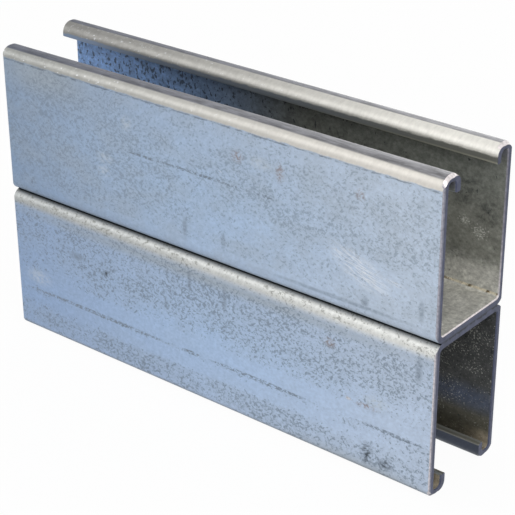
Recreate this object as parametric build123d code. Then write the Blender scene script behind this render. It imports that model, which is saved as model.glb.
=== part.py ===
# Double strut channel: two equal roll-formed steel channels with inturned lips, joined web to web.
# Millimetres. X runs along the stock, Y across it and Z up. The origin is on the floor, under the centre.
# The lower channel opens downwards and stands on its lips, and the upper one opens upwards.
import os

from build123d import *

# Section of one channel
channel_width = 41.3  # across the outer faces of the two flanges
channel_depth = 61.9  # from the back of the web to the crown of the lips
gauge = 2.66  # thickness of the steel strip
web_bend_radius = 1.4  # inside radius of the two bends beside the web
lip_width = 9.5  # across the crown, from the flange's outer face to the lip's face in the slot
lip_drop = 7.1  # from the crown to the lip's free edge
lip_bend_radius = 1.6  # inside radius of the two bends of each lip
crown_flat = 0.5  # least flat left along the crown, where thick strip limits the lip's bends
lip_edge_round = 0.5  # rounding of the strip's rolled edge

# Sawn ends
stock_length = 203.2  # length that the stock was sawn to
rim_deburr = 0.4  # chamfer on the inner rims of the sawn ends
flange_filing = 0.75  # filed flat up the outer edges of the flanges at both ends
crown_filing = 1.5  # larger filed flat across the crowns at the right end

# Spot welds through the two webs, seen as shallow electrode marks on the webs' inner faces
weld_pitch = 76.2  # distance between welds
weld_end_margin = 20.0  # least distance from a sawn end to the first weld
mark_diameter = 8.0  # electrode mark at the web's face
mark_floor_diameter = 5.5  # flat floor of the mark
mark_depth = 0.3

# Sizes that follow from the ones above
half_width = channel_width / 2
half_length = stock_length / 2
lip_face = half_width - lip_width
lip_edge_height = channel_depth - lip_drop
lip_inside_radius = min(lip_bend_radius, (lip_width - 2 * gauge - crown_flat) / 2)
weld_count = 1 + int((stock_length - 2 * weld_end_margin) // weld_pitch)


def strip_face_line(inset):
    """One face of the strip from lip edge to lip edge: the outer at inset 0, the inner at the gauge."""
    flange = half_width - inset
    lip = lip_face + inset
    crown = channel_depth - inset
    corners = [
        (-lip, lip_edge_height),
        (-lip, crown),
        (-flange, crown),
        (-flange, inset),
        (flange, inset),
        (flange, crown),
        (lip, crown),
        (lip, lip_edge_height),
    ]
    lip_bend = lip_inside_radius + gauge - inset
    web_bend = web_bend_radius + gauge - inset
    return FilletPolyline(*corners, radius=[lip_bend, lip_bend, web_bend, web_bend, lip_bend, lip_bend])


def strip_section():
    """Section of one channel in the YZ plane, with its web's back on the Y axis and its slot at the top."""
    outer = strip_face_line(0)
    inner = strip_face_line(gauge)
    return Plane.YZ * make_face([outer, inner, Line(outer @ 0, inner @ 0), Line(outer @ 1, inner @ 1)])


def end_filings():
    """Wedges filed off the outer edges of the sawn ends: up the four flange edges, and across the right crowns."""
    flange_corners = [
        (half_length - flange_filing, half_width),
        (half_length, half_width),
        (half_length, half_width - flange_filing),
    ]
    flange_wedge = extrude(make_face(Polyline(*flange_corners, close=True)), channel_depth)
    crown_corners = [
        (half_length - crown_filing, channel_depth),
        (half_length, channel_depth),
        (half_length, channel_depth - crown_filing),
    ]
    crown_wedge = extrude(Plane.XZ * make_face(Polyline(*crown_corners, close=True)), half_width, both=True)
    right = flange_wedge + mirror(flange_wedge, about=Plane.XZ)
    return right + mirror(right, about=Plane.YZ) + crown_wedge


def weld_marks():
    """Shallow dished marks along the middle of the web's inner face."""
    mark = Cone(
        mark_floor_diameter / 2,
        mark_diameter / 2,
        mark_depth,
        align=(Align.CENTER, Align.CENTER, Align.MAX),
    )
    return [place * mark for place in Pos(0, 0, gauge) * GridLocations(weld_pitch, 0, weld_count, 1)]


def channel():
    """One channel with its slot upwards and the back of its web at height 0."""
    stock = extrude(strip_section(), half_length, both=True)
    # The edges across the web's inner face, next above those of its back: the chamfer runs on round the bends
    web_inner_edges = stock.edges().filter_by(Axis.Y).group_by(Axis.Z)[1]
    stock = chamfer(web_inner_edges, rim_deburr)
    long_edges = stock.edges().filter_by(Axis.X)
    stock = fillet(long_edges.filter_by_position(Axis.Z, lip_edge_height, lip_edge_height), lip_edge_round)
    return stock - end_filings() - weld_marks()


seam = Pos(0, 0, channel_depth)
one_channel = channel()
nodes = {
    "upper_channel": seam * one_channel,
    "lower_channel": seam * Rot(180, 0, 0) * one_channel,
}

os.makedirs("parts", exist_ok=True)
for name, solid in nodes.items():
    export_step(solid, f"parts/{name}.step")
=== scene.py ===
import math

import bmesh
import bpy
from bpy.props import FloatProperty, FloatVectorProperty, IntProperty, PointerProperty
from mathutils import Matrix, Quaternion, Vector


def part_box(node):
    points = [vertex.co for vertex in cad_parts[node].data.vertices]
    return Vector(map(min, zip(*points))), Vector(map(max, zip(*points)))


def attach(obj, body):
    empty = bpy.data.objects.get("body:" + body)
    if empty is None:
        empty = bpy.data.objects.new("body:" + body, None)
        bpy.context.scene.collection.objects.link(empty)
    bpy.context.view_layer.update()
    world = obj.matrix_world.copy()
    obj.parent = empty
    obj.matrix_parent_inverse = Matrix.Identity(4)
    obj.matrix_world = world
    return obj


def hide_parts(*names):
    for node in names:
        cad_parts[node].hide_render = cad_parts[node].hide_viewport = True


bl_info = {
    "name": "Double strut channel",
    "version": (1, 0, 0),
    "blender": (4, 5, 0),
    "location": "3D View > Sidebar > Strut",
    "description": "Two galvanised lipped channels joined web to web, standing on a pale floor",
    "category": "Add Mesh",
}

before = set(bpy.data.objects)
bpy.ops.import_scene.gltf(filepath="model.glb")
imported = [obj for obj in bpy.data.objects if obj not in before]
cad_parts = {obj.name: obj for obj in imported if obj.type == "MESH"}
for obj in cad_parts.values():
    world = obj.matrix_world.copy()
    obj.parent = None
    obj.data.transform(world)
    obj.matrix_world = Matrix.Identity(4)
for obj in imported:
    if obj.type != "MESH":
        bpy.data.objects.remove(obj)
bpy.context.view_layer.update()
upper_low, upper_high = (Vector(corner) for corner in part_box("upper_channel"))
MM = 0.001

# Places on the part, in millimetres
GAUGE = 2.66  # thickness of the strip
FRONT = -upper_high.y / MM  # outer faces of the front flanges
BACK_INSIDE = upper_high.y / MM - GAUGE  # inner faces of the back flanges
FLANGE_EDGE = upper_high.y / MM - 1.2  # what is filed further out than this is an outer edge
SEAM = upper_low.z / MM
CROWN = upper_high.z / MM
SLOT_FACE = (13.0, 12.0)  # out from the middle, where the lips' faces in the slot fade in


def linear(hex_colour):
    """Turns an sRGB hex value such as #8fa3bd into the linear colour that the shaders take."""
    shares = [int(hex_colour[i:i + 2], 16) / 255 for i in (1, 3, 5)]
    return [s / 12.92 if s <= 0.04045 else ((s + 0.055) / 1.055) ** 2.4 for s in shares] + [1.0]


# Sizes and colours that a user would change

def length(name, description, default):
    """A size in metres, shown in the scene's units."""
    return FloatProperty(
        name=name, description=description, default=default, min=0.0, unit="LENGTH", precision=5
    )


def colour(name, description, default):
    """A colour given as an sRGB hex value."""
    return FloatVectorProperty(
        name=name, description=description, default=linear(default), subtype="COLOR", size=4, min=0.0, max=1.0
    )


class StrutSection(bpy.types.PropertyGroup):
    """Sizes of the two channels, and how far this copy is worn."""

    stock_length: length("Length", "Length that the stock was sawn to", upper_high.x - upper_low.x)
    channel_width: length("Width", "Across the outer faces of the flanges", upper_high.y - upper_low.y)
    channel_depth: length("Depth", "From the back of the web to the crowns", upper_high.z - upper_low.z)
    gauge: length("Gauge", "Thickness of the steel strip", GAUGE * MM)
    web_bend_radius: length("Web bend", "Inside radius of the bends beside the web", 1.4 * MM)
    lip_width: length("Lip width", "Across the crown of a lip", 9.5 * MM)
    lip_drop: length("Lip drop", "From the crown to the lip's free edge", 7.1 * MM)
    lip_bend_radius: length("Lip bend", "Inside radius of the bends of a lip", 1.6 * MM)
    lip_edge_round: length("Lip edge", "Rounding of the strip's rolled edge", 0.5 * MM)
    rim_deburr: length("Rim deburr", "Chamfer on the inner rims of the sawn ends", 0.4 * MM)
    left_rounding: length("Left rounding", "Rounding of the flanges' edges at the left end", 0.4 * MM)
    right_rounding: length("Right rounding", "Rounding of the flanges' edges at the right end", 1.0 * MM)
    crown_filing: length("Crown filing", "Slope filed over the crowns at the right end", 1.2 * MM)
    end_skew: length("End skew", "How much shorter the back is, where the left end was sawn askew", 1.4 * MM)
    left_droop: length("Lip droop, left", "How far the front upper lip is down at the left end", 1.6 * MM)
    right_droop: length("Lip droop, right", "How far the front upper lip is down at the right end", 0.7 * MM)
    left_lip_trim: length("Lip trim, left", "How much the back upper lip lacks at the left end", 1.4 * MM)
    right_lip_trim: length("Lip trim, right", "How much the back upper lip lacks at the right end", 0.5 * MM)
    weld_pitch: length("Weld pitch", "Distance between spot welds", 76.2 * MM)
    weld_count: IntProperty(name="Welds", description="Spot welds along the web", default=3, min=1)
    mark_diameter: length("Mark", "Electrode mark at the web's face", 8.0 * MM)
    mark_floor_diameter: length("Mark floor", "Flat floor of the electrode mark", 5.5 * MM)
    mark_depth: length("Mark depth", "Depth of the electrode mark", 0.3 * MM)
    bend_steps: IntProperty(name="Bend steps", description="Flats that make up each bend", default=12, min=2)
    length_steps: IntProperty(name="Length steps", description="Stretches along the strip", default=7, min=1)


class StrutFinish(bpy.types.PropertyGroup):
    """Colours of the zinc, the bare steel and what has settled on them, with painted light, shade and
    reflections among them.
    """

    # Flange colours: partly the zinc's own blue-grey, partly painted sky reflection, lighter to the right as
    # painted light
    upper_left: colour("Upper, left", "Upper channel's flanges at the left end", "#8399b6")
    upper_right: colour("Upper, right", "Upper channel's flanges at the right end", "#bccadc")
    lower_left: colour("Lower, left", "Lower channel's flanges at the left end", "#8ca3c4")
    lower_right: colour("Lower, right", "Lower channel's flanges at the right end", "#b6c5da")
    # Painted sky reflection, brighter and bluer, over the middle of the front flanges
    fresh: colour("Fresh zinc", "Brighter and bluer zinc in the middle", "#a4c2e6")
    # The back flanges are greyer, without the painted sky reflection
    behind: colour("Back flanges", "Outer faces of the back flanges, away from the blue sky", "#aab2bb")
    dull: colour("Dull zinc", "Greyer zinc that has weathered", "#9ba3a9")
    fleck: colour("Flecks", "Small dull flecks in the zinc", "#73808c")
    pale: colour("Pale spots", "Paler spots in the zinc", "#bcc6d0")
    smear: colour("Smears", "Grey rubbing marks", "#76828f")
    soot: colour("Dark spots", "Dark spots and smudges", "#4a535c")
    rust: colour("Rust tint", "Faint rust in the zinc", "#8f7c74")
    scratch: colour("Scratches", "Bright metal in fresh scratches", "#e4e7ec")
    # Lip bends: pale cream painted highlights
    bend_left: colour("Lip bends, left", "Bends on the outer side of the lips, at the left end", "#9fa09d")
    bend_right: colour("Lip bends, right", "Bends on the outer side of the lips, at the right end", "#d8d4cd")
    # Web bends: pale cream painted highlights
    web_bend_left: colour("Web bends, left", "Bends beside the web, at the left end", "#acafaf")
    web_bend_right: colour("Web bends, right", "Bends beside the web, at the right end", "#dadbd8")
    bend_fleck: colour("Web bend flecks", "Flecks on the bends beside the web", "#84857f")
    # Slot bends: pale cream painted highlights
    slot_bend_left: colour("Slot bends, left", "The lips' bends into the slot, at the left end", "#888784")
    slot_bend_right: colour("Slot bends, right", "The lips' bends into the slot, at the right end", "#e5e3dc")
    # Crowns: painted dark reflection
    crown_reflection_left: colour("Crowns, left", "Crowns of the upper lips at the left end", "#595d6a")
    crown_reflection_right: colour("Crowns, right", "Crowns of the upper lips at the right end", "#838386")
    # Faces of the upper lips in the slot: painted shade
    slot_left: colour("Slot, left", "Faces of the upper lips in the slot, at the left end", "#75859d")
    slot_right: colour("Slot, right", "Faces of the upper lips in the slot, at the right end", "#8c8d87")
    # Faces of the lower lips in the slot: painted shade
    lower_slot: colour("Lower slot", "Faces of the lower lips in the slot", "#3c424f")
    # Lip edges: a painted highlight along the lips' free edges
    lip_edge: colour("Lip edges", "Rubbed free edges of the lips", "#c6c4b4")
    # Seam: dirt and painted shade
    seam_dirt_and_shade: colour("Seam", "Dirt in the seam between the channels", "#2d3338")
    # Inside the upper channel: painted light on the web, painted shade under the lips
    upper_web: colour("Upper web", "Web inside the upper channel", "#c8c7c0")
    upper_inside: colour("Upper inside", "Flanges inside the upper channel", "#898a82")
    upper_lips: colour("Upper inside, lips", "Inside the upper channel, under the lips", "#7f827c")
    # Painted sky reflection inside the upper channel's left end
    upper_sky_reflection: colour("Upper inside, left", "Bluer zinc inside the upper channel's left end", "#7697c6")
    # Lower inside: near-black, painted shade
    lower_inside: colour("Lower inside", "Inside the lower channel", "#4c4e4e")
    lower_blue: colour("Lower inside, blue", "Bluer zinc low inside the lower channel", "#4c566b")
    lower_olive: colour("Lower inside, olive", "Olive zinc above the lower lips", "#57554a")
    trough: colour("Trough", "Dust in the trough of the lower lips", "#a89e8b")
    blotch: colour("Blotches", "Near-black blotches inside", "#20262b")
    speck: colour("Specks", "Bright grains of zinc inside", "#cdcdc6")
    # Corner line: a painted highlight along the inner corner
    corner: colour("Corner line", "Pale golden line in the inner corner", "#e0d8c2")
    corner_dirt: colour("Corner dirt", "Brown dots along the inner corner", "#6b5a3d")
    upper_trough: colour("Upper trough", "Shaded trough behind the upper lips", "#73757a")
    # Sawn steel: its own blue-grey, darkened as painted reflection
    sawn: colour("Sawn steel", "Faces of the sawn ends", "#4b5065")
    filed: colour("Filed edge", "Flange edges filed after sawing", "#a3a2ac")
    # Filed edges that face up: painted highlight
    filed_highlight: colour("Filed edge, top", "Filed edges that face up", "#e6dfdf")


class StrutStage(bpy.types.PropertyGroup):
    """Camera, light and floor."""

    azimuth: FloatProperty(name="Azimuth", description="Round to the right of the front", default=39.193)
    elevation: FloatProperty(name="Elevation", description="Above the horizon", default=26.947)
    roll: FloatProperty(name="Roll", description="Turn about the line of sight", default=-0.333)
    distance: length("Distance", "From the camera to the point it looks at", 615.2 * MM)
    aim: FloatVectorProperty(
        name="Aim",
        description="Point that the camera looks at",
        default=(8.07 * MM, 0.0, 57.73 * MM),
        unit="LENGTH",
    )
    lens: FloatProperty(name="Lens", description="Focal length in millimetres", default=114.84)
    floor_colour: colour("Floor", "Plain pale floor", "#f7f7f7")
    floor_size: length("Floor size", "Side of the floor", 8.0)
    sky_light: FloatProperty(name="Sky", description="Even light from all round", default=0.55, min=0.0)
    key_light: FloatProperty(name="Key", description="Watts of the lamp at the front right", default=7.0)
    fill_light: FloatProperty(name="Fill", description="Watts of the lamp at the front left", default=2.5)
    back_light: FloatProperty(name="Back", description="Watts of the lamp behind", default=3.0)


# Materials

MARK_REACH = 4.0  # how far a mark reaches in from the flange's face, in millimetres
NOISE_LOW, NOISE_HIGH = 0.3, 0.7  # nearly all of the noise lies between these
FLOOR_WHITE = 0.96  # share of plain white in the floor as it is seen


def put(tree, kind, values=None, output=0, **options):
    """Adds a shader node with its options, sets or links its inputs, and gives back one of its outputs."""
    made = tree.nodes.new("ShaderNode" + kind)
    for name, option in options.items():
        setattr(made, name, option)
    for socket, value in (values or {}).items():
        if isinstance(value, bpy.types.NodeSocket):
            tree.links.new(value, made.inputs[socket])
        else:
            made.inputs[socket].default_value = value
    return made.outputs[output]


def blend(tree, share, under, over):
    """One colour with a share of another laid over it."""
    return put(tree, "Mix", {0: share, 6: under, 7: over}, 2, data_type="RGBA")


def shaded(tree, tone, shade, share=1.0):
    """A colour made darker or lighter by a factor."""
    return put(tree, "Mix", {0: share, 6: tone, 7: shade}, 2, data_type="RGBA", blend_type="MULTIPLY")


def times(tree, product, *factors):
    """The product of several values."""
    for factor in factors:
        product = put(tree, "Math", {0: product, 1: factor}, operation="MULTIPLY")
    return product


def strongest(tree, top, *others):
    """The largest of several values."""
    for other in others:
        top = put(tree, "Math", {0: top, 1: other}, operation="MAXIMUM")
    return top


def ramp(tree, value, start=0.0, end=1.0, low=0.0, high=1.0, kind="LINEAR"):
    """A straight ramp: low where the value is at start, high where it is at end, and level beyond."""
    return put(tree, "MapRange", {0: value, 1: start, 2: end, 3: low, 4: high}, interpolation_type=kind)


def ease(tree, value, start, end, low=0.0, high=1.0):
    """A ramp that starts and ends softly."""
    return ramp(tree, value, start, end, low, high, "SMOOTHSTEP")


def swing(tree, noise, low, high):
    """Random lumps spread from low to high."""
    return ramp(tree, noise, NOISE_LOW, NOISE_HIGH, low, high)


def new_finish(name):
    """An empty material with its node tree, its surface shader and the place on the piece in millimetres."""
    material = bpy.data.materials.new(name)
    material.use_nodes = True
    tree = material.node_tree
    shader = tree.nodes["Principled BSDF"]
    metres = put(tree, "TexCoord", output="Object")
    at = put(tree, "VectorMath", {0: metres, "Scale": 1 / MM}, operation="SCALE")
    return material, tree, shader, at


def clouds(tree, at, size, detail=2.0, roughness=0.5, start=0.0, lean=0.0):
    """Random lumps from 0 to 1, of a size in millimetres along X, Y and Z, leaning in the flanges' plane."""
    turn = (0.0, math.radians(lean), 0.0)
    spread = put(tree, "Mapping", {0: at, 1: (start, start, start), 2: turn, 3: size}, vector_type="TEXTURE")
    return put(tree, "TexNoise", {0: spread, "Scale": 1.0, "Detail": detail, "Roughness": roughness})


def marks(tree, at, flange, ovals, core=0.3):
    """Soft ovals on one flange: 1 in their cores, 0 outside them."""
    masks = []
    for along, up, half_length, half_height, lean in ovals:
        place = (along, flange, up)
        turn = (0.0, math.radians(lean), 0.0)
        reach = (half_length, MARK_REACH, half_height)
        local = put(tree, "Mapping", {0: at, 1: place, 2: turn, 3: reach}, vector_type="TEXTURE")
        out = put(tree, "VectorMath", {0: local}, output=1, operation="LENGTH")
        masks.append(ease(tree, out, 1.0, core))
    return strongest(tree, *masks)


# What shows on the front flanges: (along, up, half length, half height, lean in degrees), in millimetres
UPPER_MARKS = {
    # fresh: painted sky reflection, brighter and bluer, over the middle of the flange
    "fresh": [(0, 86, 105, 45, 0)],
    "dull": [(-82, 116, 45, 15, 0)],
    "pale": [(-37, 107, 4, 4, 0), (26, 108, 8, 3.5, 0), (-50, 84.5, 5, 3.5, 0), (-49, 90, 6, 3.5, 0)],
    "bare": [(0, 66, 110, 4, 0)],
    "crowded": [(45, 99, 80, 18, 0), (-62, 92, 75, 30, 0)],
    "smear": [
        (95, 73, 1.6, 6, 0),
        (9, 72.5, 1.6, 5, 0),
        (-9.5, 72.5, 1.8, 6, 0),
        (72, 69, 2.2, 3.5, 0),
        (62, 66.9, 45, 1.2, 0),
    ],
    "line": [(-29, 95.8, 10, 0.7, 0), (-1, 96.1, 24, 0.7, 0), (28, 96.2, 4, 0.7, 0)],
    "soot": [(-90, 68.3, 1.0, 1.1, 0)],
    "rust": [(16, 108, 4, 3.5, 0), (35, 107, 3, 5, 0), (69, 108.5, 3, 3.2, 0)],
    "scratch": [(69.5, 80.8, 18, 7, 24), (84, 80, 6, 1.2, 8), (7, 100.5, 2.5, 0.7, 20)],
}
LOWER_MARKS = {
    # fresh: painted sky reflection, brighter and bluer, over the middle of the flange
    "fresh": [(5, 30, 112, 40, 0)],
    "dull": [(0, 54.5, 170, 4.5, 0), (72, 2, 60, 6, 0)],
    "pale": [(-90, 26, 10, 5, 0), (78, 31, 9, 4, 0)],
    "bare": [(0, 24, 220, 5, 0), (-10, 16, 120, 4, 0)],
    "crowded": [(10, 44, 160, 15, 0), (5, 8, 150, 6, 0)],
    "smear": [(95, 50.5, 2.2, 8, 0), (-8, 51.5, 1.5, 7, 0), (9, 49, 1.6, 8, 0), (-67, 42.5, 7, 2.6, 0)],
    "line": [(-59, 20.0, 45, 1.0, 0), (-8, 20.2, 6, 1.0, 0), (26, 20.4, 28, 1.0, 0), (84, 20.7, 18, 1.0, 0)],
    "soot": [
        (-51.5, 40, 1.7, 1.7, 0),
        (74.5, 8.5, 3.6, 6.5, 0),
        (82.5, 7, 4.4, 3, 0),
        (-98, 57.5, 0.9, 0.9, 0),
    ],
    "rust": [(66, 28.5, 2, 1.1, 0), (74, 28, 7, 1.6, 0), (57.5, 48, 4, 3, 0)],
    "scratch": [(66, 28.4, 1.8, 0.9, 0)],
}

# What shows on the inner faces of the back flanges, given in the same way
INSIDE_SMUDGES = [(83.5, 76.5, 6, 5, 0), (95, 95, 9, 10, 0), (86, 102, 9, 11, 0)]
INSIDE_GRAINS = [(92.5, 87, 7, 6, 0), (86, 90, 5, 4, 0)]
# A painted highlight along the inner corner
CORNER_HIGHLIGHT = [(95, 65.5, 45, 0.7, 0), (30, 65.5, 60, 0.6, 0)]
LOWER_BLUE = [(90, 20.5, 34, 7.5, 0)]


def flange_zinc(tree, at, along, across, finish, ends, dull_share, fleck_share, spots):
    """Satin blue-grey zinc, partly painted sky reflection and painted light, with dull clouds, drifts of
    small flecks and the marks that handling left.
    """
    # Painted light: lighter to the right, a painted sky reflection, brighter and bluer, over the middle, and
    # the back flanges greyer without it
    run = ramp(tree, along, -100.0, 85.0)
    tone = blend(tree, run, ends[0], ends[1])
    fresh = times(tree, marks(tree, at, FRONT, spots["fresh"], 0.0), 0.4)
    tone = blend(tree, fresh, tone, finish.fresh)
    behind = ramp(tree, across, -5.0, 5.0, high=0.75)
    tone = blend(tree, behind, tone, finish.behind)
    wide = clouds(tree, at, (22.0, 20.0, 13.0), 4.0, 0.6)
    cloudy = ease(tree, wide, 0.4, 0.65, high=dull_share)
    dulled = times(tree, marks(tree, at, FRONT, spots["dull"], 0.0), 0.7)
    cloudy = strongest(tree, cloudy, dulled)
    tone = blend(tree, cloudy, tone, finish.dull)
    lumps = clouds(tree, at, (3.5, 3.5, 3.0), 6.0, 0.8)
    tone = shaded(tree, tone, swing(tree, lumps, 0.93, 1.07))

    # Dull flecks 1 to 2 mm long that lean three ways, crowded into drifts
    drifts = clouds(tree, at, (15.0, 12.0, 10.0), 4.0, 0.6, start=7.0)
    crowd = ramp(tree, drifts, 0.36, 0.64, 0.61, 0.555)
    sparse = times(tree, marks(tree, at, FRONT, spots["bare"]), 0.1)
    crowd = put(tree, "Math", {0: crowd, 1: sparse}, operation="ADD")
    dense = times(tree, marks(tree, at, FRONT, spots["crowded"], 0.5), 0.04)
    crowd = put(tree, "Math", {0: crowd, 1: dense}, operation="SUBTRACT")
    crowd_top = put(tree, "Math", {0: crowd, 1: 0.1}, operation="ADD")
    grains = strongest(tree, *(
        clouds(tree, at, (1.9, 1.6, 1.05), 3.0, 0.6, start, lean)
        for lean, start in ((-40.0, 3.0), (5.0, 5.0), (40.0, 8.0))
    ))
    flecks = ease(tree, grains, crowd, crowd_top, high=fleck_share)
    haze = ease(tree, crowd, 0.62, 0.53, high=0.15)
    tone = blend(tree, haze, tone, finish.dull)
    grit = clouds(tree, at, (1.4, 1.4, 1.2), 3.0, 0.6, start=16.0)
    tone = shaded(tree, tone, swing(tree, grit, 0.92, 1.08))
    tone = blend(tree, flecks, tone, finish.fleck)

    # Marks broken up by fine grain, and scratches combed two ways
    ragged = ramp(tree, clouds(tree, at, (1.8, 1.6, 1.2), 3.0, 0.6, start=11.0), 0.36, 0.56)
    solid = ramp(tree, ragged, low=0.5, high=1.0)
    spotted = ramp(tree, grains, 0.5, 0.6)
    strands = strongest(tree, *(
        clouds(tree, at, (7.0, 5.0, 0.35), 2.0, 0.5, start, lean)
        for lean, start in ((11.0, 5.0), (25.0, 6.0))
    ))
    combed = ease(tree, strands, 0.5, 0.63)
    for kind, paint, breaks, core, strength in (
        ("pale", finish.pale, ragged, 0.0, 0.6),
        ("rust", finish.rust, spotted, 0.0, 0.7),
        ("smear", finish.smear, solid, 0.2, 0.6),
        ("line", finish.smear, spotted, 0.6, 0.9),
        ("soot", finish.soot, ragged, 0.1, 1.0),
        ("scratch", finish.scratch, combed, 0.2, 0.7),
    ):
        mask = times(tree, marks(tree, at, FRONT, spots[kind], core), breaks, strength)
        tone = blend(tree, mask, tone, paint)
    return tone, run, lumps, flecks


def bend_highlight(tree, at, run, ends, contrast):
    """Painted highlight over a bend: pale cream, brighter to the right, with fine slanting streaks."""
    run = put(tree, "Math", {0: run, 1: 1.3}, operation="POWER")
    tone = blend(tree, run, ends[0], ends[1])
    streaks = clouds(tree, at, (1.1, 3.0, 2.5), 3.0, 0.6, start=2.0, lean=20.0)
    shade = ramp(tree, streaks, 0.25, 0.7, 1.0 - contrast, 1.0 + 0.6 * contrast)
    return shaded(tree, tone, shade)


def satin(tree, shader, tone, flecks, lumps):
    """Satin metal, duller in the flecks, with the flecks slightly sunk and the sheet slightly uneven."""
    tree.links.new(tone, shader.inputs["Base Color"])
    gloss = ramp(tree, flecks, low=0.42, high=0.6)
    tree.links.new(gloss, shader.inputs["Roughness"])
    relief = put(tree, "Math", {0: lumps, 1: flecks}, operation="SUBTRACT")
    bump = put(tree, "Bump", {"Height": relief, "Strength": 0.15, "Distance": 0.1 * MM})
    tree.links.new(bump, shader.inputs["Normal"])
    shader.inputs["Metallic"].default_value = 0.7


def upper_outside(finish):
    """Galvanised strip, cold formed: blue-grey flanges, cream bends as painted highlights and grey crowns as
    painted dark reflection.
    """
    material, tree, shader, at = new_finish("galvanised_upper_outside")
    along, across, up = put(tree, "SeparateXYZ", {0: at}).node.outputs
    ends = (finish.upper_left, finish.upper_right)
    tone, run, lumps, flecks = flange_zinc(tree, at, along, across, finish, ends, 0.25, 0.46, UPPER_MARKS)

    # Thin broken painted shadow line where the flange starts to bend
    bend_low = CROWN - 5.4
    broken = clouds(tree, at, (4.0, 4.0, 1.2), 3.0, 0.6, start=12.0)
    wavy = swing(tree, broken, -0.3, 0.3)
    height = put(tree, "Math", {0: up, 1: wavy}, operation="ADD")
    edge = put(tree, "Math", {0: height, 1: bend_low - 0.3}, operation="SUBTRACT")
    edge = put(tree, "Math", {0: edge}, operation="ABSOLUTE")
    edge = ease(tree, edge, 0.6, 0.1)
    gaps = ramp(tree, broken, 0.4, 0.55, 0.05, 0.55)
    edge = times(tree, edge, gaps)
    tone = blend(tree, edge, tone, finish.soot)

    # Faces in the slot in painted shade, darker to the right, with a painted highlight along their free edges
    # there
    side = put(tree, "Math", {0: across}, operation="ABSOLUTE")
    slot_face = ease(tree, side, *SLOT_FACE)
    slot_tone = blend(tree, run, finish.slot_left, finish.slot_right)
    tone = blend(tree, slot_face, tone, slot_tone)
    edge_highlight = ramp(tree, up, CROWN - 5.6, CROWN - 6.1)
    to_right = ramp(tree, along, -20.0, 95.0, high=0.8)
    edge_highlight = times(tree, edge_highlight, to_right, slot_face)
    tone = blend(tree, edge_highlight, tone, finish.lip_edge)

    # Pale bends on both sides of each lip, painted highlights, with dull smears and bright nicks towards the
    # left
    outer_bend = bend_highlight(tree, at, run, (finish.bend_left, finish.bend_right), 0.08)
    slot_bend = bend_highlight(tree, at, run, (finish.slot_bend_left, finish.slot_bend_right), 0.1)
    inner_side = ramp(tree, side, 17.0, 15.0)
    drawn = blend(tree, inner_side, outer_bend, slot_bend)
    leftward = ramp(tree, along, 60.0, -60.0)
    smears = clouds(tree, at, (5.0, 2.5, 2.0), 4.0, 0.65, start=10.0)
    shade = ramp(tree, smears, 0.35, 0.65, 0.92, 1.06)
    drawn = shaded(tree, drawn, shade, leftward)
    nicks = clouds(tree, at, (2.0, 1.0, 0.9), 3.0, 0.6, start=14.0, lean=-30.0)
    nicks = ramp(tree, nicks, 0.62, 0.73, high=0.8)
    nicks = times(tree, nicks, leftward)
    drawn = blend(tree, nicks, drawn, finish.scratch)
    inward = ramp(tree, side, 18.0, 14.0, high=1.2)
    start = put(tree, "Math", {0: height, 1: inward}, operation="SUBTRACT")
    bend = ease(tree, start, bend_low - 0.2, bend_low + 0.5)
    tone = blend(tree, bend, tone, drawn)

    # Grey crowns between the bends as painted dark reflection, wider to the right, and into the slot on the
    # front lip
    worn = blend(tree, run, finish.crown_reflection_left, finish.crown_reflection_right)
    streaks = clouds(tree, at, (7.0, 1.0, 4.0), 4.0, 0.65, start=9.0)
    shade = ramp(tree, streaks, 0.32, 0.68, 0.6, 1.4)
    worn = shaded(tree, worn, shade)
    outward = put(tree, "Math", {0: side, 1: 17.0}, operation="SUBTRACT")
    reach = ramp(tree, along, 30.0, 95.0, 1.9, 2.6)
    fade = put(tree, "Math", {0: reach, 1: 0.7}, operation="SUBTRACT")
    outer = ease(tree, outward, reach, fade)
    slotward = ramp(tree, across, -1.0, 1.0, -4.0, -2.7)
    inside = put(tree, "Math", {0: slotward, 1: 0.6}, operation="ADD")
    inner = ease(tree, outward, slotward, inside)
    high = ramp(tree, up, CROWN - 5.0, CROWN - 4.0)
    tone = blend(tree, times(tree, outer, inner, high), tone, worn)

    # Dirt and painted shade at the seam, and painted shade a little above it, where the web's bend turns
    # under
    seam_shade = ease(tree, up, SEAM + 6.0, SEAM + 1.0, high=0.18)
    dirt = ease(tree, up, SEAM + 1.3, SEAM + 0.2, high=0.85)
    dirt = strongest(tree, dirt, seam_shade)
    tone = blend(tree, dirt, tone, finish.seam_dirt_and_shade)
    satin(tree, shader, tone, flecks, lumps)
    return material


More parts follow.
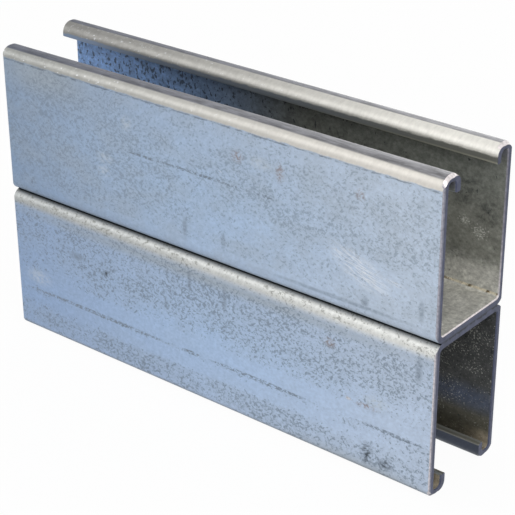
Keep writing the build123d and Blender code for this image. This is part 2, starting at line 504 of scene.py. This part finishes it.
def lower_outside(finish):
    """The same strip turned over: bluer flanges, and a cream, flecked painted highlight on the bend beside
    the web.
    """
    material, tree, shader, at = new_finish("galvanised_lower_outside")
    along, across, up = put(tree, "SeparateXYZ", {0: at}).node.outputs
    ends = (finish.lower_left, finish.lower_right)
    tone, run, lumps, flecks = flange_zinc(tree, at, along, across, finish, ends, 0.08, 0.68, LOWER_MARKS)

    # Faces in the slot in painted shade, with a painted highlight along their free edges
    side = put(tree, "Math", {0: across}, operation="ABSOLUTE")
    slot_face = ease(tree, side, *SLOT_FACE)
    tone = blend(tree, slot_face, tone, finish.lower_slot)
    edge_highlight = ramp(tree, up, 6.4, 6.9, high=0.6)
    inner_side = ramp(tree, side, 15.0, 14.5)
    edge_highlight = times(tree, edge_highlight, inner_side)
    tone = blend(tree, edge_highlight, tone, finish.lip_edge)

    # Painted highlight on the bend beside the web, with the flecks showing through; darker at the foot; dirt
    # and painted shade at the seam
    drawn = bend_highlight(tree, at, run, (finish.web_bend_left, finish.web_bend_right), 0.16)
    bend = ease(tree, up, SEAM - 6.8, SEAM - 3.4)
    drawn = blend(tree, flecks, drawn, finish.bend_fleck)
    tone = blend(tree, bend, tone, drawn)
    foot = ease(tree, up, 3.6, 1.6, high=0.6)
    tone = blend(tree, foot, tone, finish.soot)
    seam_shade = ease(tree, up, SEAM - 2.0, SEAM - 0.6, high=0.4)
    dirt = ease(tree, up, SEAM - 0.7, SEAM - 0.2)
    dirt = strongest(tree, dirt, seam_shade)
    tone = blend(tree, dirt, tone, finish.seam_dirt_and_shade)
    satin(tree, shader, tone, flecks, lumps)
    return material


def dull_zinc(tree, shader, at, finish, tone, blotch_level, speck_level):
    """Dull mottled zinc: near-black blotches 1 to 2 mm across, and bright grains about 1 mm across."""
    lumps = clouds(tree, at, (6.0, 6.0, 5.0), 6.0, 0.8)
    tone = shaded(tree, tone, swing(tree, lumps, 0.65, 1.35))
    grit = clouds(tree, at, (1.5, 1.5, 1.3), 4.0, 0.7, start=13.0)
    tone = shaded(tree, tone, swing(tree, grit, 0.7, 1.3))
    grains = strongest(tree, *(
        clouds(tree, at, (2.3, 1.9, 1.6), 2.0, 0.5, start, lean)
        for lean, start in ((60.0, 4.0), (100.0, 9.0))
    ))
    blotch_top = put(tree, "Math", {0: blotch_level, 1: 0.07}, operation="ADD")
    blotches = ease(tree, grains, blotch_level, blotch_top, high=0.75)
    tone = blend(tree, blotches, tone, finish.blotch)
    fine = clouds(tree, at, (0.8, 0.8, 0.7), 2.0, 0.6, start=6.0)
    speck_top = put(tree, "Math", {0: speck_level, 1: 0.2}, operation="ADD")
    specks = ease(tree, fine, speck_level, speck_top)
    tone = blend(tree, specks, tone, finish.speck)
    tree.links.new(tone, shader.inputs["Base Color"])
    gloss = swing(tree, lumps, 0.45, 0.6)
    tree.links.new(gloss, shader.inputs["Roughness"])
    bump = put(tree, "Bump", {"Height": grains, "Strength": 0.2, "Distance": 0.1 * MM})
    tree.links.new(bump, shader.inputs["Normal"])
    shader.inputs["Metallic"].default_value = 0.3


def upper_inside(finish):
    """Inside of the upper channel: olive-grey, with painted light on the web, painted shade under the lips
    and in the middle, and blue painted sky reflection with blotches high at the left end.
    """
    material, tree, shader, at = new_finish("galvanised_upper_inside")
    along, across, up = put(tree, "SeparateXYZ", {0: at}).node.outputs
    # Painted light and shade: lighter on the web, darker up under the lips, darker in the middle, and a blue
    # painted sky reflection high on the back flange at the left end
    climb = ease(tree, up, SEAM + 9.0, SEAM + 18.0)
    tone = blend(tree, climb, finish.upper_web, finish.upper_inside)
    climb = ease(tree, up, SEAM + 24.0, SEAM + 50.0)
    tone = blend(tree, climb, tone, finish.upper_lips)
    middle_shade = ramp(tree, along, 10.0, 75.0, 0.6, 1.0)
    tone = shaded(tree, tone, middle_shade)
    left = ease(tree, along, 20.0, -70.0)
    on_back = ramp(tree, across, 8.0, 16.0)
    high = ease(tree, up, SEAM + 12.0, SEAM + 38.0, 0.2, 1.0)
    left = times(tree, left, on_back, high)
    tone = blend(tree, left, tone, finish.upper_sky_reflection)

    # Dark smudges with ragged edges, and a broken golden painted highlight along the corner, with brown dots
    # of dirt
    broken = clouds(tree, at, (2.5, 2.5, 2.5), 5.0, 0.7, start=1.0)
    ragged = ramp(tree, broken, 0.4, 0.62, high=0.65)
    smudge = times(tree, marks(tree, at, BACK_INSIDE, INSIDE_SMUDGES, 0.0), ragged)
    tone = blend(tree, smudge, tone, finish.blotch)
    dots = ramp(tree, broken, 0.4, 0.5)
    corner_highlight_tone = blend(tree, dots, finish.corner_dirt, finish.corner)
    line = marks(tree, at, BACK_INSIDE, CORNER_HIGHLIGHT)
    tone = blend(tree, line, tone, corner_highlight_tone)
    trough = ease(tree, up, CROWN - 8.0, CROWN - 5.0)
    tone = blend(tree, trough, tone, finish.upper_trough)
    blotch_level = ramp(tree, along, -40.0, 90.0, 0.585, 0.72)
    cluster = marks(tree, at, BACK_INSIDE, INSIDE_GRAINS, 0.0)
    speck_level = ramp(tree, cluster, low=0.7, high=0.4)
    dull_zinc(tree, shader, at, finish, tone, blotch_level, speck_level)
    return material


def lower_inside(finish):
    """Inside of the lower channel: near-black as painted shade, with bright grains, and dust in the lips'
    troughs.
    """
    material, tree, shader, at = new_finish("galvanised_lower_inside")
    along, _, up = put(tree, "SeparateXYZ", {0: at}).node.outputs
    low = ease(tree, up, 18.0, 12.0)
    tone = blend(tree, low, finish.lower_inside, finish.lower_olive)
    blue = times(tree, marks(tree, at, BACK_INSIDE, LOWER_BLUE, 0.0), 0.9)
    tone = blend(tree, blue, tone, finish.lower_blue)
    dust = ease(tree, up, 10.0, 5.5)
    to_end = ramp(tree, along, 90.0, 99.0, 0.1, 1.0)
    dust = times(tree, dust, to_end)
    tone = blend(tree, dust, tone, finish.trough)
    blotch_level = ramp(tree, up, 10.0, 60.0, 0.7, 0.62)
    speck_level = ramp(tree, up, 5.0, 38.0, 0.61, 0.54)
    swarm = clouds(tree, at, (8.0, 8.0, 6.0), 3.0, 0.6, start=15.0)
    swarm = ramp(tree, swarm, 0.35, 0.65, 0.06, -0.05)
    speck_level = put(tree, "Math", {0: speck_level, 1: swarm}, operation="ADD")
    dull_zinc(tree, shader, at, finish, tone, blotch_level, speck_level)
    return material


def sawn_steel(finish):
    """Mild steel cut by a saw: blue-grey, darkened as painted reflection, with fine parallel tooth marks and
    a dark line at the seam.
    """
    material, tree, shader, at = new_finish("sawn_steel")
    up = put(tree, "SeparateXYZ", {0: at}, "Z")
    lumps = clouds(tree, at, (3.0, 3.0, 3.0), 5.0, 0.7)
    tone = shaded(tree, finish.sawn, swing(tree, lumps, 0.65, 1.35))
    wavy = swing(tree, lumps, SEAM - 0.5, SEAM + 0.5)
    apart = put(tree, "Math", {0: up, 1: wavy}, operation="SUBTRACT")
    apart = put(tree, "Math", {0: apart}, operation="ABSOLUTE")
    seam = ramp(tree, apart, 0.55, 0.2)
    gaps = ramp(tree, lumps, 0.42, 0.6, 0.9, 0.4)
    seam = times(tree, seam, gaps)
    tone = blend(tree, seam, tone, finish.blotch)
    tree.links.new(tone, shader.inputs["Base Color"])
    teeth = clouds(tree, at, (40.0, 0.35, 12.0), 2.0, 0.6)
    bump = put(tree, "Bump", {"Height": teeth, "Strength": 0.3, "Distance": 0.05 * MM})
    tree.links.new(bump, shader.inputs["Normal"])
    shader.inputs["Metallic"].default_value = 0.7
    shader.inputs["Roughness"].default_value = 0.45
    return material


def filed_steel(finish):
    """Steel filed after sawing: pinkish grey up the flanges, near-white painted highlight facing up, dull
    painted shade on inner rims.
    """
    material, tree, shader, at = new_finish("filed_steel")
    _, across, up = put(tree, "SeparateXYZ", {0: at}).node.outputs
    facing = put(tree, "TexCoord", output="Normal")
    end_on, sideways, upward = put(tree, "SeparateXYZ", {0: facing}).node.outputs

    # Outer edges are bright, most where they turn to the side, as painted light; inner rims are as dull as
    # the sawn face, as painted shade
    side = put(tree, "Math", {0: across}, operation="ABSOLUTE")
    outer = put(tree, "Math", {0: side, 1: FLANGE_EDGE}, operation="GREATER_THAN")
    end_on = put(tree, "Math", {0: end_on}, operation="ABSOLUTE")
    to_side = ramp(tree, end_on, 0.87, 0.5, 0.55, 1.0)
    bright = times(tree, outer, to_side)
    tone = blend(tree, bright, finish.sawn, finish.filed)

    # The lower flanges' edges catch the light where they turn to the side
    upper = put(tree, "Math", {0: up, 1: SEAM}, operation="GREATER_THAN")
    lower = put(tree, "Math", {0: 1.0, 1: upper}, operation="SUBTRACT")
    glint = ramp(tree, end_on, 0.75, 0.6, high=0.5)
    glint = times(tree, glint, outer, lower)
    tone = blend(tree, glint, tone, finish.filed_highlight)

    # Of what faces up, the rim of the upper web and the filed crowns shine with a painted highlight
    lit = ramp(tree, upward, 0.2, 0.6)
    lit = times(tree, lit, upper)
    tone = blend(tree, lit, tone, finish.filed_highlight)

    # A burr runs up the back flange from the inner corner, with a painted highlight brightest there
    burr = ramp(tree, up, SEAM + 26.0, SEAM + 8.0, 0.35, 1.0)
    inner = ramp(tree, sideways, -0.3, -0.5)
    back = put(tree, "Math", {0: across, 1: 15.0}, operation="GREATER_THAN")
    burr = times(tree, burr, inner, back, upper, 0.6)
    tone = blend(tree, burr, tone, finish.filed_highlight)
    strokes = clouds(tree, at, (1.2, 1.2, 1.2), 3.0, 0.6)
    tone = shaded(tree, tone, swing(tree, strokes, 0.7, 1.2))
    tree.links.new(tone, shader.inputs["Base Color"])
    bump = put(tree, "Bump", {"Height": strokes, "Strength": 0.2, "Distance": 0.05 * MM})
    tree.links.new(bump, shader.inputs["Normal"])
    shader.inputs["Metallic"].default_value = 0.7
    shader.inputs["Roughness"].default_value = 0.4
    return material


def in_sight(tree):
    """1 for what is seen by the camera or in the metal, and 0 for the light that things get."""
    rays = put(tree, "LightPath").node.outputs
    return strongest(tree, rays["Is Camera Ray"], rays["Is Glossy Ray"], rays["Is Transmission Ray"])


def pale_floor(stage):
    """Matt white floor that looks white to the camera and in the metal, and still takes a shadow."""
    material = bpy.data.materials.new("matt_white_floor")
    material.use_nodes = True
    tree = material.node_tree
    tree.nodes.remove(tree.nodes["Principled BSDF"])
    share = times(tree, in_sight(tree), FLOOR_WHITE)
    matt = put(tree, "BsdfDiffuse", {0: stage.floor_colour})
    white = put(tree, "Emission", {"Color": (1.0, 1.0, 1.0, 1.0), "Strength": 1.0})
    surface = put(tree, "MixShader", {0: share, 1: matt, 2: white})
    tree.links.new(surface, tree.nodes["Material Output"].inputs["Surface"])
    return material


# Shapes

OUTSIDE, INSIDE, SAWN, FILED = range(4)  # places of the materials in each channel's list
TINY = 1e-6
ALONG = (1.0, 0.0, 0.0)
END_REACH = 2.0 * MM  # of the shapes that sawing and filing left at an end
SAWN_TURN = 0.9  # least turn towards an end of a sawn face
FILED_TURN = 0.25  # least turn towards an end of a face that shows the file's marks
FILE_STROKES = (math.radians(30), math.radians(60))  # how far each stroke turns from the end to the side
LIP_EDGE_STEPS = 3  # flats that make up a rounded lip edge
DROOP_CURVE = 1.5  # the front upper lip droops by this power of the way to the left
MARK_SIDES = 48  # sides of an electrode mark
SHARP_ANGLE = math.radians(25)  # least angle of an edge that is not shaded smooth


def bevel(strip, edges, size, steps):
    """Bevels edges of the strip, and gives back the new faces."""
    made = bmesh.ops.bevel(
        strip, geom=edges, offset=size, offset_type="OFFSET", affect="EDGES",
        segments=steps, profile=0.5, material=-1, clamp_overlap=False,
    )
    return made["faces"]


def bent_strip(section):
    """One channel as bent strip with square ends, slot upwards and web's back at height 0."""
    half_width = section.channel_width / 2
    half_length = section.stock_length / 2
    lip_face = half_width - section.lip_width
    crown = section.channel_depth
    lip_edge = crown - section.lip_drop
    fold_line = [
        (-lip_face, lip_edge),
        (-lip_face, crown),
        (-half_width, crown),
        (-half_width, 0.0),
        (half_width, 0.0),
        (half_width, crown),
        (lip_face, crown),
        (lip_face, lip_edge),
    ]
    strip = bmesh.new()
    corners = [strip.verts.new((-half_length, across, up)) for across, up in fold_line]
    edges = [strip.edges.new(pair) for pair in zip(corners, corners[1:])]
    drawn = bmesh.ops.extrude_edge_only(strip, edges=edges)["geom"]
    ends = [part for part in drawn if isinstance(part, bmesh.types.BMVert)]
    bmesh.ops.translate(strip, verts=ends, vec=(section.stock_length, 0.0, 0.0))

    # Round the four bends of the lips, then the two beside the web
    for inside_radius, height in ((section.lip_bend_radius, crown), (section.web_bend_radius, 0.0)):
        folds = [
            edge for edge in strip.edges
            if len(edge.link_faces) == 2 and all(abs(v.co.z - height) < TINY for v in edge.verts)
        ]
        bevel(strip, folds, inside_radius + section.gauge, section.bend_steps)

    # The sheet so far is the outer face: its wall grows inwards
    bmesh.ops.recalc_face_normals(strip, faces=strip.faces)
    outer = set(strip.faces)
    bmesh.ops.solidify(strip, geom=list(strip.faces), thickness=section.gauge)
    strip.normal_update()
    for face in strip.faces:
        if abs(face.normal.x) > SAWN_TURN:
            face.material_index = SAWN
        elif face in outer or all(abs(v.co.z - lip_edge) < TINY for v in face.verts):
            face.material_index = OUTSIDE
        else:
            face.material_index = INSIDE

    # Deburr the inner rims of both ends, then round the strip's rolled edges along the lips
    rims = [edge for edge in strip.edges if {f.material_index for f in edge.link_faces} == {INSIDE, SAWN}]
    for face in bevel(strip, rims, section.rim_deburr, 1):
        face.material_index = FILED
    lip_edges = [
        edge for edge in strip.edges
        if all(abs(v.co.z - lip_edge) < TINY for v in edge.verts)
        and abs(edge.verts[0].co.x - edge.verts[1].co.x) > half_length
    ]
    bevel(strip, lip_edges, section.lip_edge_round, LIP_EDGE_STEPS)
    return strip


def cut(strip, place, facing, clear=False):
    """Cuts the strip along a plane, clears what is beyond it if asked, and gives back the cut's edges."""
    whole = list(strip.verts) + list(strip.edges) + list(strip.faces)
    made = bmesh.ops.bisect_plane(
        strip, geom=whole, plane_co=place, plane_no=facing, clear_outer=clear, dist=TINY
    )
    return [part for part in made["geom_cut"] if isinstance(part, bmesh.types.BMEdge)]


def file_flat(strip, place, facing):
    """One flat filed on the strip: what lies beyond the plane goes, and the cut is closed."""
    rims = cut(strip, place, facing, True)
    for face in bmesh.ops.edgenet_fill(strip, edges=rims)["faces"]:
        face.material_index = FILED


def file_crowns(strip, section):
    """Files the right end over the crowns and their outer bends, so that they slope to the sawn face."""
    right = section.stock_length / 2
    bend = section.lip_bend_radius + section.gauge
    lip_face = section.channel_width / 2 - section.lip_width
    cut(strip, (right - section.crown_filing, 0.0, 0.0), ALONG)
    for vert in strip.verts:
        outside = any(face.material_index == OUTSIDE for face in vert.link_faces)
        if outside and vert.co.x > right - TINY and vert.co.z > section.channel_depth - bend - TINY:
            vert.co.z -= section.crown_filing * min((abs(vert.co.y) - lip_face) / bend, 1.0)
    strip.normal_update()
    for face in strip.faces:
        if face.material_index == OUTSIDE and face.normal.x > FILED_TURN:
            face.material_index = FILED


def file_flanges(strip, section):
    """Rounds the flanges' outer edges at both sawn ends with two file strokes."""
    for end, radius in ((-1, section.left_rounding), (1, section.right_rounding)):
        along = end * (section.stock_length / 2 - radius)
        for flank in (-1, 1):
            centre = Vector((along, flank * (section.channel_width / 2 - radius), 0.0))
            for stroke in FILE_STROKES:
                facing = Vector((end * math.cos(stroke), flank * math.sin(stroke), 0.0))
                file_flat(strip, centre + radius * facing, facing)


def wear(strip, section):
    """The strip as it is: left end askew, front upper lip down, most at the left, back upper lip short."""
    left = -section.stock_length / 2
    for step in range(1, section.length_steps):
        place = left + step * section.stock_length / section.length_steps
        cut(strip, (place, 0.0, 0.0), ALONG)
    crown = 2 * section.channel_depth
    lip_edge = crown - section.lip_drop
    bend = section.lip_bend_radius + section.gauge
    lip_back = section.channel_width / 2 - section.lip_width + section.gauge
    for vert in strip.verts:
        leftness = 0.5 - vert.co.x / section.stock_length
        if 0.0 < vert.co.y < lip_back + TINY and abs(vert.co.z - lip_edge) < section.lip_edge_round + TINY:
            vert.co.z += section.right_lip_trim + leftness * (section.left_lip_trim - section.right_lip_trim)
        if vert.co.y < 0.0 and vert.co.z > lip_edge - TINY:
            on_lip = vert.co.y > bend - section.channel_width / 2
            press = 1.0 if on_lip else (vert.co.z - lip_edge) / section.lip_drop
            growth = (section.left_droop - section.right_droop) * leftness ** DROOP_CURVE
            droop = section.right_droop + growth
            vert.co.z -= droop * press
        if vert.co.x < left + END_REACH:
            vert.co.x += section.end_skew * (0.5 + vert.co.y / section.channel_width)


def weld_punches(section):
    """The electrodes' tips as blunt cones, standing in the web's inner face."""
    punches = bmesh.new()
    slope = (section.mark_diameter - section.mark_floor_diameter) / 2 / section.mark_depth
    height = 2 * section.mark_depth
    tip = section.mark_floor_diameter / 2
    for step in range(section.weld_count):
        along = (step - (section.weld_count - 1) / 2) * section.weld_pitch
        place = Matrix.Translation((along, 0.0, section.gauge))
        bmesh.ops.create_cone(
            punches, cap_ends=True, segments=MARK_SIDES, radius1=tip, radius2=tip + slope * height,
            depth=height, matrix=place,
        )
    for face in punches.faces:
        face.material_index = INSIDE
    return punches


def as_piece(shape, name, materials):
    """Makes an object at the origin from a finished bmesh."""
    mesh = bpy.data.meshes.new(name)
    shape.to_mesh(mesh)
    shape.free()
    for material in materials:
        mesh.materials.append(material)
    piece = bpy.data.objects.new(name, mesh)
    bpy.context.scene.collection.objects.link(piece)
    return piece


def channel_piece(section, name, materials, turn):
    """One finished channel: bent, filed, worn and marked by the welds, with its web's back at the seam."""
    place = Matrix.Translation((0.0, 0.0, section.channel_depth)) @ Matrix.Rotation(turn, 4, "X")
    strip = bent_strip(section)
    file_crowns(strip, section)
    file_flanges(strip, section)
    bmesh.ops.transform(strip, matrix=place, verts=strip.verts)
    wear(strip, section)
    punches = weld_punches(section)
    bmesh.ops.transform(punches, matrix=place, verts=punches.verts)
    stock = as_piece(strip, name, materials)
    punch = as_piece(punches, "weld_punches", materials)
    pressing = stock.modifiers.new("weld marks", "BOOLEAN")
    pressing.operation = "DIFFERENCE"
    pressing.solver = "EXACT"
    pressing.object = punch
    bpy.context.view_layer.update()
    rough = stock.data
    stock.data = bpy.data.meshes.new_from_object(stock.evaluated_get(bpy.context.evaluated_depsgraph_get()))
    stock.data.name = name
    stock.modifiers.remove(pressing)
    bpy.data.meshes.remove(rough)
    bpy.data.meshes.remove(punch.data)
    stock.data.shade_smooth()
    stock.data.set_sharp_from_angle(angle=SHARP_ANGLE)
    even = stock.modifiers.new("flat faces stay flat", "WEIGHTED_NORMAL")
    even.keep_sharp = True
    return stock


# Stage

FLOOR_GAP = 0.1 * MM  # keeps the floor clear of the crowns that stand on it
SENSOR_WIDTH = 36.0  # of the camera, in millimetres


def add_floor(stage):
    """A wide pale floor just under the part."""
    ground = bmesh.new()
    bmesh.ops.create_grid(ground, x_segments=1, y_segments=1, size=stage.floor_size / 2)
    bmesh.ops.translate(ground, verts=ground.verts, vec=(0.0, 0.0, -FLOOR_GAP))
    as_piece(ground, "floor", [pale_floor(stage)])


def add_surround(scene, stage):
    """A surround that looks white and lights the part less than that."""
    scene.world = bpy.data.worlds.new("white_surround")
    scene.world.use_nodes = True
    tree = scene.world.node_tree
    sky = tree.nodes["Background"]
    sky.inputs["Color"].default_value = (1.0, 1.0, 1.0, 1.0)
    strength = ramp(tree, in_sight(tree), low=stage.sky_light, high=1.0)
    tree.links.new(strength, sky.inputs["Strength"])


def add_lamps(scene, stage):
    """Three large soft lamps, turned to the point that the camera looks at."""
    for name, place, size, power in (
        ("key_lamp", (0.75, -0.75, 1.0), 0.9, stage.key_light),
        ("fill_lamp", (-0.9, -0.8, 0.6), 0.8, stage.fill_light),
        ("back_lamp", (-0.3, 1.2, 0.5), 0.9, stage.back_light),
    ):
        lamp = bpy.data.lights.new(name, "AREA")
        lamp.size = size
        lamp.energy = power
        holder = bpy.data.objects.new(name, lamp)
        holder.location = place
        holder.rotation_euler = (Vector(stage.aim) - Vector(place)).to_track_quat("-Z", "Y").to_euler()
        scene.collection.objects.link(holder)


def add_camera(scene, stage):
    """The camera where the photo was taken from."""
    azimuth = math.radians(stage.azimuth)
    elevation = math.radians(stage.elevation)
    back = Vector((
        math.sin(azimuth) * math.cos(elevation),
        -math.cos(azimuth) * math.cos(elevation),
        math.sin(elevation),
    ))
    lens = bpy.data.cameras.new("photo_view")
    lens.lens = stage.lens
    lens.sensor_width = SENSOR_WIDTH
    camera = bpy.data.objects.new("photo_view", lens)
    camera.location = Vector(stage.aim) + back * stage.distance
    level = (-back).to_track_quat("-Z", "Y")
    camera.rotation_euler = (level @ Quaternion((0.0, 0.0, 1.0), math.radians(stage.roll))).to_euler()
    scene.collection.objects.link(camera)
    scene.camera = camera


# Steps, panel and registration

class STRUT_OT_channels(bpy.types.Operator):
    """Adds the two galvanised channels in place of their CAD solids"""

    bl_idname = "strut.channels"
    bl_label = "Add Channels"

    def execute(self, context):
        section = context.scene.strut_section
        finish = context.scene.strut_finish
        bare = [sawn_steel(finish), filed_steel(finish)]
        for node, name, zinc, turn in (
            ("upper_channel", "upper_strip", [upper_outside(finish), upper_inside(finish)], 0.0),
            ("lower_channel", "lower_strip", [lower_outside(finish), lower_inside(finish)], math.pi),
        ):
            piece = channel_piece(section, name, zinc + bare, turn)
            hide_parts(node)
            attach(piece, "root")
        return {"FINISHED"}


class STRUT_OT_stage(bpy.types.Operator):
    """Adds the floor, the soft lamps, the white surround and the camera"""

    bl_idname = "strut.stage"
    bl_label = "Add Stage"

    def execute(self, context):
        scene = context.scene
        stage = scene.strut_stage
        scene.view_settings.view_transform = "Standard"
        add_floor(stage)
        add_surround(scene, stage)
        add_lamps(scene, stage)
        add_camera(scene, stage)
        return {"FINISHED"}


class STRUT_PT_panel(bpy.types.Panel):
    """Lists the steps and the sizes and colours that they use"""

    bl_idname = "STRUT_PT_panel"
    bl_label = "Double Strut Channel"
    bl_space_type = "VIEW_3D"
    bl_region_type = "UI"
    bl_category = "Strut"

    def draw(self, context):
        scene = context.scene
        for operator in (STRUT_OT_channels, STRUT_OT_stage):
            self.layout.operator(operator.bl_idname)
        for group in (scene.strut_section, scene.strut_finish, scene.strut_stage):
            box = self.layout.box()
            for name in group.__annotations__:
                box.prop(group, name)


classes = (StrutSection, StrutFinish, StrutStage, STRUT_OT_channels, STRUT_OT_stage, STRUT_PT_panel)


def register():
    for kind in classes:
        bpy.utils.register_class(kind)
    bpy.types.Scene.strut_section = PointerProperty(type=StrutSection)
    bpy.types.Scene.strut_finish = PointerProperty(type=StrutFinish)
    bpy.types.Scene.strut_stage = PointerProperty(type=StrutStage)


def unregister():
    del bpy.types.Scene.strut_stage
    del bpy.types.Scene.strut_finish
    del bpy.types.Scene.strut_section
    for kind in reversed(classes):
        bpy.utils.unregister_class(kind)


def main():
    register()
    bpy.ops.strut.channels()
    bpy.ops.strut.stage()


if __name__ == "__main__":
    main()
